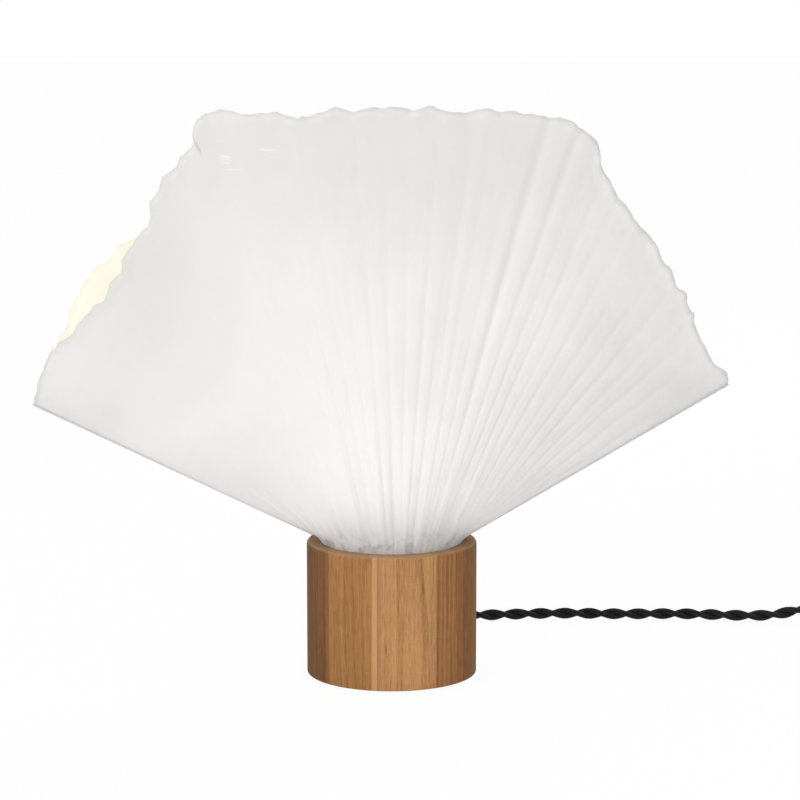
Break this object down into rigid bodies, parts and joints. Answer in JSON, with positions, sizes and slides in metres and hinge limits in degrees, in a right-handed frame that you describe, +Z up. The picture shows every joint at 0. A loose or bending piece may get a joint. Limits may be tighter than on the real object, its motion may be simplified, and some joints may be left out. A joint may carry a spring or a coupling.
{
  "type": "pleated paper table lamp",
  "caption": "Table lamp with a fan of pleated white paper held in the mouth of a round wooden base, with an inner bulb and a twisted textile cord.",
  "frame": {"origin": "centre of the foot's underside, on the axis of the round base", "axes": "+Z up, the front of the shade faces -Y, the cord leaves the back of the base along +Y and runs towards +X"},
  "size_m": [0.6353, 0.2024, 0.3385],
  "materials": {
    "stained_pine": "stained, satin",
    "felt": "felted",
    "zinc_steel": "zinc plated",
    "ballast_steel": "raw",
    "black_plastic": "moulded",
    "white_plastic": "moulded",
    "brass": "plain",
    "opal_glass": "opal",
    "nickel_cap": "nickel plated",
    "circuit_board": "lacquered",
    "white_paper": "pleated paper",
    "black_textile": "braided",
    "lead_insulation": "smooth",
    "plug_nickel": "nickel plated"
  },
  "bodies": {
    "base": {"wooden_base": "stained_pine", "base_plate": "zinc_steel", "plate_screws": "zinc_steel", "felt_pad": "felt", "ballast_ring": "ballast_steel", "cord_grip": "black_plastic", "grip_nut": "black_plastic", "cord_inner_end": "black_textile", "lamp_leads": "lead_insulation", "holder_tube": "zinc_steel", "tube_washer": "zinc_steel", "tube_nut": "zinc_steel", "holder_cap": "white_plastic", "holder_insert": "white_plastic", "terminal_screws": "brass", "holder_shell": "white_plastic", "screw_shell": "brass", "centre_contact": "brass", "cord_to_switch": "black_textile", "cord_to_coil": "black_textile", "cord_to_plug": "black_textile", "cord_coil": "black_textile", "coil_tie": "black_plastic", "switch_lower_case": "black_plastic", "switch_upper_case": "black_plastic", "switch_screws": "zinc_steel", "rocker_pin": "zinc_steel", "switch_reliefs": "black_plastic", "switch_contacts": "brass", "plug_body": "black_plastic", "plug_relief": "black_plastic", "plug_pins": "plug_nickel", "pin_sleeves": "black_plastic"},
    "shade": {"neck_ring": "white_plastic", "front_panel": "white_paper", "back_panel": "white_paper", "left_seam": "white_paper", "right_seam": "white_paper"},
    "bulb": {"bulb_contact": "nickel_cap", "bulb_insulator": "black_plastic", "bulb_cap": "nickel_cap", "bulb_collar": "white_plastic", "led_board": "circuit_board", "bulb_globe": "opal_glass"},
    "rocker": {"switch_rocker": "black_plastic"}
  },
  "joints": [
    {"name": "shade_lift", "type": "slide", "parent": "base", "child": "shade", "axis": [0, 0, 1], "range_m": [0, 0.12]},
    {"name": "bulb_turn", "type": "hinge", "parent": "base", "child": "bulb", "pos_m": [0, 0, 0.1], "axis": [0, 0, 1], "range_deg": [0, 1080]},
    {"name": "rocker_tip", "type": "hinge", "parent": "base", "child": "rocker", "pos_m": [0.325, 0.127, 0.0125], "axis": [0, 1, 0], "range_deg": [0, 24]}
  ]
}
